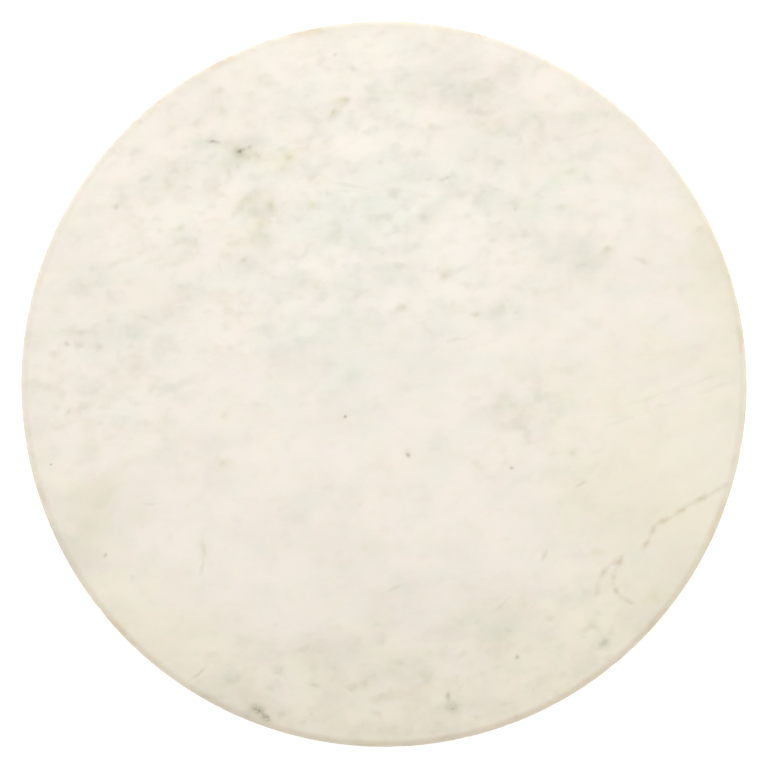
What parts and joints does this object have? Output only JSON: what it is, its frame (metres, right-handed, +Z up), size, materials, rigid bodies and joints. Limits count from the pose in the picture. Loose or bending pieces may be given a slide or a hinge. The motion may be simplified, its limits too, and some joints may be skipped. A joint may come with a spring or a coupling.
{
  "type": "lazy susan turntable",
  "caption": "Round marble slab that turns without limit on a low aluminium ring bearing standing on rubber feet.",
  "frame": {"origin": "centre of the footprint, on the plane that the six feet stand on and on the axis that the slab turns about", "axes": "+Z up along the turning axis, +X towards foot_1 and ball_01, +Y towards the top of the picture when seen from above"},
  "size_m": [0.3999, 0.4, 0.036],
  "materials": {
    "marble": "honed, warm white with soft grey and brown clouds",
    "anodised_aluminium": "satin, turned and clear anodised",
    "bearing_steel": "polished",
    "nylon": "matte, moulded",
    "zinc_steel": "satin, zinc plated",
    "brass": "satin",
    "cork": "matte, pressed cork granules",
    "foot_rubber": "matte, moulded"
  },
  "bodies": {
    "base": {"lower_race": "anodised_aluminium", "upper_race": "anodised_aluminium", "race_screws": "zinc_steel", "foot_1": "foot_rubber", "foot_2": "foot_rubber", "foot_3": "foot_rubber", "foot_4": "foot_rubber", "foot_5": "foot_rubber", "foot_6": "foot_rubber", "foot_washers": "zinc_steel", "foot_screws": "zinc_steel"},
    "turntable": {"marble_slab": "marble", "slab_inserts": "brass", "cork_gasket": "cork", "inner_race": "anodised_aluminium", "slab_washers": "zinc_steel", "slab_screws": "zinc_steel"},
    "cage": {"ball_cage": "nylon"},
    "ball_01": {"ball_01": "bearing_steel"},
    "ball_02": {"ball_02": "bearing_steel"},
    "ball_03": {"ball_03": "bearing_steel"},
    "ball_04": {"ball_04": "bearing_steel"},
    "ball_05": {"ball_05": "bearing_steel"},
    "ball_06": {"ball_06": "bearing_steel"},
    "ball_07": {"ball_07": "bearing_steel"},
    "ball_08": {"ball_08": "bearing_steel"},
    "ball_09": {"ball_09": "bearing_steel"},
    "ball_10": {"ball_10": "bearing_steel"},
    "ball_11": {"ball_11": "bearing_steel"},
    "ball_12": {"ball_12": "bearing_steel"},
    "ball_13": {"ball_13": "bearing_steel"},
    "ball_14": {"ball_14": "bearing_steel"},
    "ball_15": {"ball_15": "bearing_steel"},
    "ball_16": {"ball_16": "bearing_steel"},
    "ball_17": {"ball_17": "bearing_steel"},
    "ball_18": {"ball_18": "bearing_steel"},
    "ball_19": {"ball_19": "bearing_steel"},
    "ball_20": {"ball_20": "bearing_steel"},
    "ball_21": {"ball_21": "bearing_steel"},
    "ball_22": {"ball_22": "bearing_steel"},
    "ball_23": {"ball_23": "bearing_steel"},
    "ball_24": {"ball_24": "bearing_steel"}
  },
  "joints": [
    {"name": "turntable_spin", "type": "hinge", "parent": "base", "child": "turntable", "pos_m": [0, 0, 0.012], "axis": [0, 0, 1], "continuous": true},
    {"name": "cage_orbit", "type": "hinge", "parent": "base", "child": "cage", "pos_m": [0, 0, 0.012], "axis": [0, 0, 1], "continuous": true},
    {"name": "ball_01_roll", "type": "hinge", "parent": "cage", "child": "ball_01", "pos_m": [0.128, 0, 0.012], "axis": [0.7071, 0, 0.7071], "continuous": true},
    {"name": "ball_02_roll", "type": "hinge", "parent": "cage", "child": "ball_02", "pos_m": [0.12364, 0.03313, 0.012], "axis": [0.683, 0.183, 0.7071], "continuous": true},
    {"name": "ball_03_roll", "type": "hinge", "parent": "cage", "child": "ball_03", "pos_m": [0.11085, 0.064, 0.012], "axis": [0.6124, 0.3536, 0.7071], "continuous": true},
    {"name": "ball_04_roll", "type": "hinge", "parent": "cage", "child": "ball_04", "pos_m": [0.09051, 0.09051, 0.012], "axis": [0.5, 0.5, 0.7071], "continuous": true},
    {"name": "ball_05_roll", "type": "hinge", "parent": "cage", "child": "ball_05", "pos_m": [0.064, 0.11085, 0.012], "axis": [0.3536, 0.6124, 0.7071], "continuous": true},
    {"name": "ball_06_roll", "type": "hinge", "parent": "cage", "child": "ball_06", "pos_m": [0.03313, 0.12364, 0.012], "axis": [0.183, 0.683, 0.7071], "continuous": true},
    {"name": "ball_07_roll", "type": "hinge", "parent": "cage", "child": "ball_07", "pos_m": [0, 0.128, 0.012], "axis": [0, 0.7071, 0.7071], "continuous": true},
    {"name": "ball_08_roll", "type": "hinge", "parent": "cage", "child": "ball_08", "pos_m": [-0.03313, 0.12364, 0.012], "axis": [-0.183, 0.683, 0.7071], "continuous": true},
    {"name": "ball_09_roll", "type": "hinge", "parent": "cage", "child": "ball_09", "pos_m": [-0.064, 0.11085, 0.012], "axis": [-0.3536, 0.6124, 0.7071], "continuous": true},
    {"name": "ball_10_roll", "type": "hinge", "parent": "cage", "child": "ball_10", "pos_m": [-0.09051, 0.09051, 0.012], "axis": [-0.5, 0.5, 0.7071], "continuous": true},
    {"name": "ball_11_roll", "type": "hinge", "parent": "cage", "child": "ball_11", "pos_m": [-0.11085, 0.064, 0.012], "axis": [-0.6124, 0.3536, 0.7071], "continuous": true},
    {"name": "ball_12_roll", "type": "hinge", "parent": "cage", "child": "ball_12", "pos_m": [-0.12364, 0.03313, 0.012], "axis": [-0.683, 0.183, 0.7071], "continuous": true},
    {"name": "ball_13_roll", "type": "hinge", "parent": "cage", "child": "ball_13", "pos_m": [-0.128, 0, 0.012], "axis": [-0.7071, 0, 0.7071], "continuous": true},
    {"name": "ball_14_roll", "type": "hinge", "parent": "cage", "child": "ball_14", "pos_m": [-0.12364, -0.03313, 0.012], "axis": [-0.683, -0.183, 0.7071], "continuous": true},
    {"name": "ball_15_roll", "type": "hinge", "parent": "cage", "child": "ball_15", "pos_m": [-0.11085, -0.064, 0.012], "axis": [-0.6124, -0.3536, 0.7071], "continuous": true},
    {"name": "ball_16_roll", "type": "hinge", "parent": "cage", "child": "ball_16", "pos_m": [-0.09051, -0.09051, 0.012], "axis": [-0.5, -0.5, 0.7071], "continuous": true},
    {"name": "ball_17_roll", "type": "hinge", "parent": "cage", "child": "ball_17", "pos_m": [-0.064, -0.11085, 0.012], "axis": [-0.3536, -0.6124, 0.7071], "continuous": true},
    {"name": "ball_18_roll", "type": "hinge", "parent": "cage", "child": "ball_18", "pos_m": [-0.03313, -0.12364, 0.012], "axis": [-0.183, -0.683, 0.7071], "continuous": true},
    {"name": "ball_19_roll", "type": "hinge", "parent": "cage", "child": "ball_19", "pos_m": [0, -0.128, 0.012], "axis": [0, -0.7071, 0.7071], "continuous": true},
    {"name": "ball_20_roll", "type": "hinge", "parent": "cage", "child": "ball_20", "pos_m": [0.03313, -0.12364, 0.012], "axis": [0.183, -0.683, 0.7071], "continuous": true},
    {"name": "ball_21_roll", "type": "hinge", "parent": "cage", "child": "ball_21", "pos_m": [0.064, -0.11085, 0.012], "axis": [0.3536, -0.6124, 0.7071], "continuous": true},
    {"name": "ball_22_roll", "type": "hinge", "parent": "cage", "child": "ball_22", "pos_m": [0.09051, -0.09051, 0.012], "axis": [0.5, -0.5, 0.7071], "continuous": true},
    {"name": "ball_23_roll", "type": "hinge", "parent": "cage", "child": "ball_23", "pos_m": [0.11085, -0.064, 0.012], "axis": [0.6124, -0.3536, 0.7071], "continuous": true},
    {"name": "ball_24_roll", "type": "hinge", "parent": "cage", "child": "ball_24", "pos_m": [0.12364, -0.03313, 0.012], "axis": [0.683, -0.183, 0.7071], "continuous": true}
  ],
  "couplings": [
    {"joint": "cage_orbit", "follows": "turntable_spin", "ratio": 0.49123},
    {"joint": "ball_01_roll", "follows": "turntable_spin", "ratio": -20.151},
    {"joint": "ball_02_roll", "follows": "turntable_spin", "ratio": -20.151},
    {"joint": "ball_03_roll", "follows": "turntable_spin", "ratio": -20.151},
    {"joint": "ball_04_roll", "follows": "turntable_spin", "ratio": -20.151},
    {"joint": "ball_05_roll", "follows": "turntable_spin", "ratio": -20.151},
    {"joint": "ball_06_roll", "follows": "turntable_spin", "ratio": -20.151},
    {"joint": "ball_07_roll", "follows": "turntable_spin", "ratio": -20.151},
    {"joint": "ball_08_roll", "follows": "turntable_spin", "ratio": -20.151},
    {"joint": "ball_09_roll", "follows": "turntable_spin", "ratio": -20.151},
    {"joint": "ball_10_roll", "follows": "turntable_spin", "ratio": -20.151},
    {"joint": "ball_11_roll", "follows": "turntable_spin", "ratio": -20.151},
    {"joint": "ball_12_roll", "follows": "turntable_spin", "ratio": -20.151},
    {"joint": "ball_13_roll", "follows": "turntable_spin", "ratio": -20.151},
    {"joint": "ball_14_roll", "follows": "turntable_spin", "ratio": -20.151},
    {"joint": "ball_15_roll", "follows": "turntable_spin", "ratio": -20.151},
    {"joint": "ball_16_roll", "follows": "turntable_spin", "ratio": -20.151},
    {"joint": "ball_17_roll", "follows": "turntable_spin", "ratio": -20.151},
    {"joint": "ball_18_roll", "follows": "turntable_spin", "ratio": -20.151},
    {"joint": "ball_19_roll", "follows": "turntable_spin", "ratio": -20.151},
    {"joint": "ball_20_roll", "follows": "turntable_spin", "ratio": -20.151},
    {"joint": "ball_21_roll", "follows": "turntable_spin", "ratio": -20.151},
    {"joint": "ball_22_roll", "follows": "turntable_spin", "ratio": -20.151},
    {"joint": "ball_23_roll", "follows": "turntable_spin", "ratio": -20.151},
    {"joint": "ball_24_roll", "follows": "turntable_spin", "ratio": -20.151}
  ]
}
